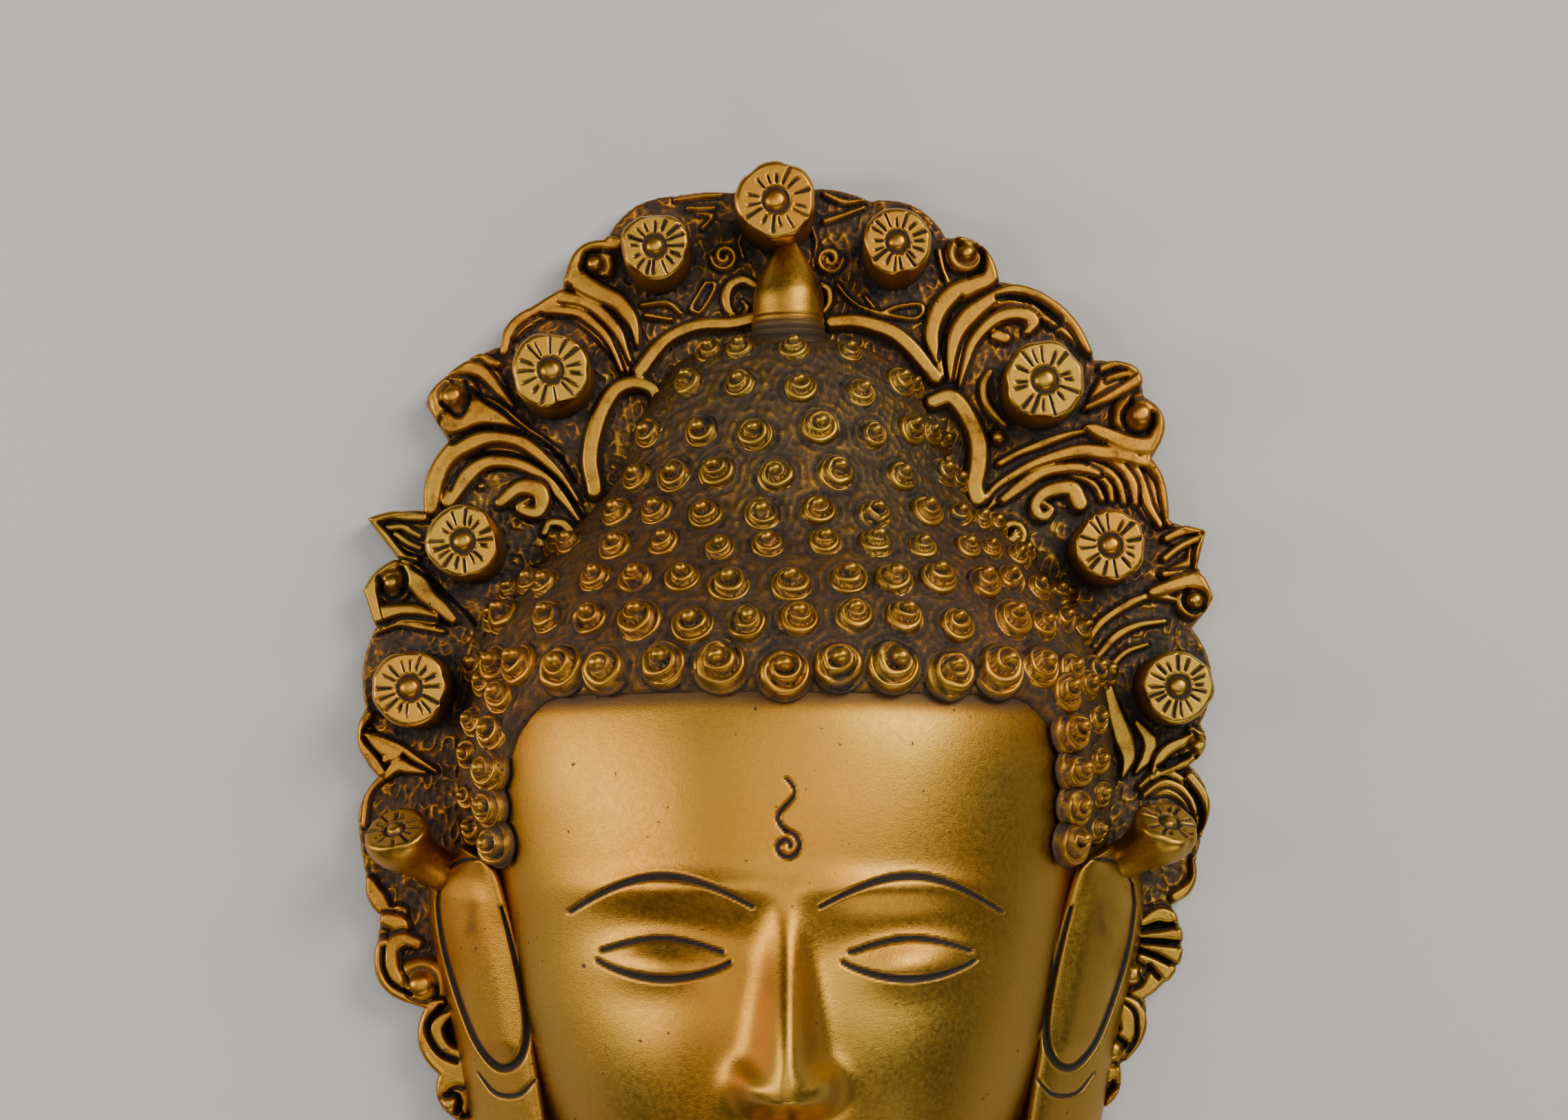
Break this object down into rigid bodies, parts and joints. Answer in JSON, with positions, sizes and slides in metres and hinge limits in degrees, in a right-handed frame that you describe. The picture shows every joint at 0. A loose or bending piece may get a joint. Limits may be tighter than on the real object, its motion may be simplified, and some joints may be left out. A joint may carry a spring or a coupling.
{
  "type": "buddha mask",
  "caption": "Cast brass mask of a calm face with snail-curled hair, a bud finial, long ears and a leafy halo edged with round bosses, hollow behind.",
  "frame": {"origin": "centre of the bounding box in X and Y, on the plane of the flat back rim", "axes": "+Z comes out of the face, away from the flat back the mask lies on; +Y runs from the chin to the crown; +X is the viewer's right"},
  "size_m": [0.248, 0.32, 0.0972],
  "materials": {
    "aged_brass": "polished on the face, ears and raised ornament, with dark brown patina left in the hair and the hollows of the halo"
  },
  "bodies": {
    "root": {"buddha_mask": "aged_brass"}
  },
  "joints": []
}
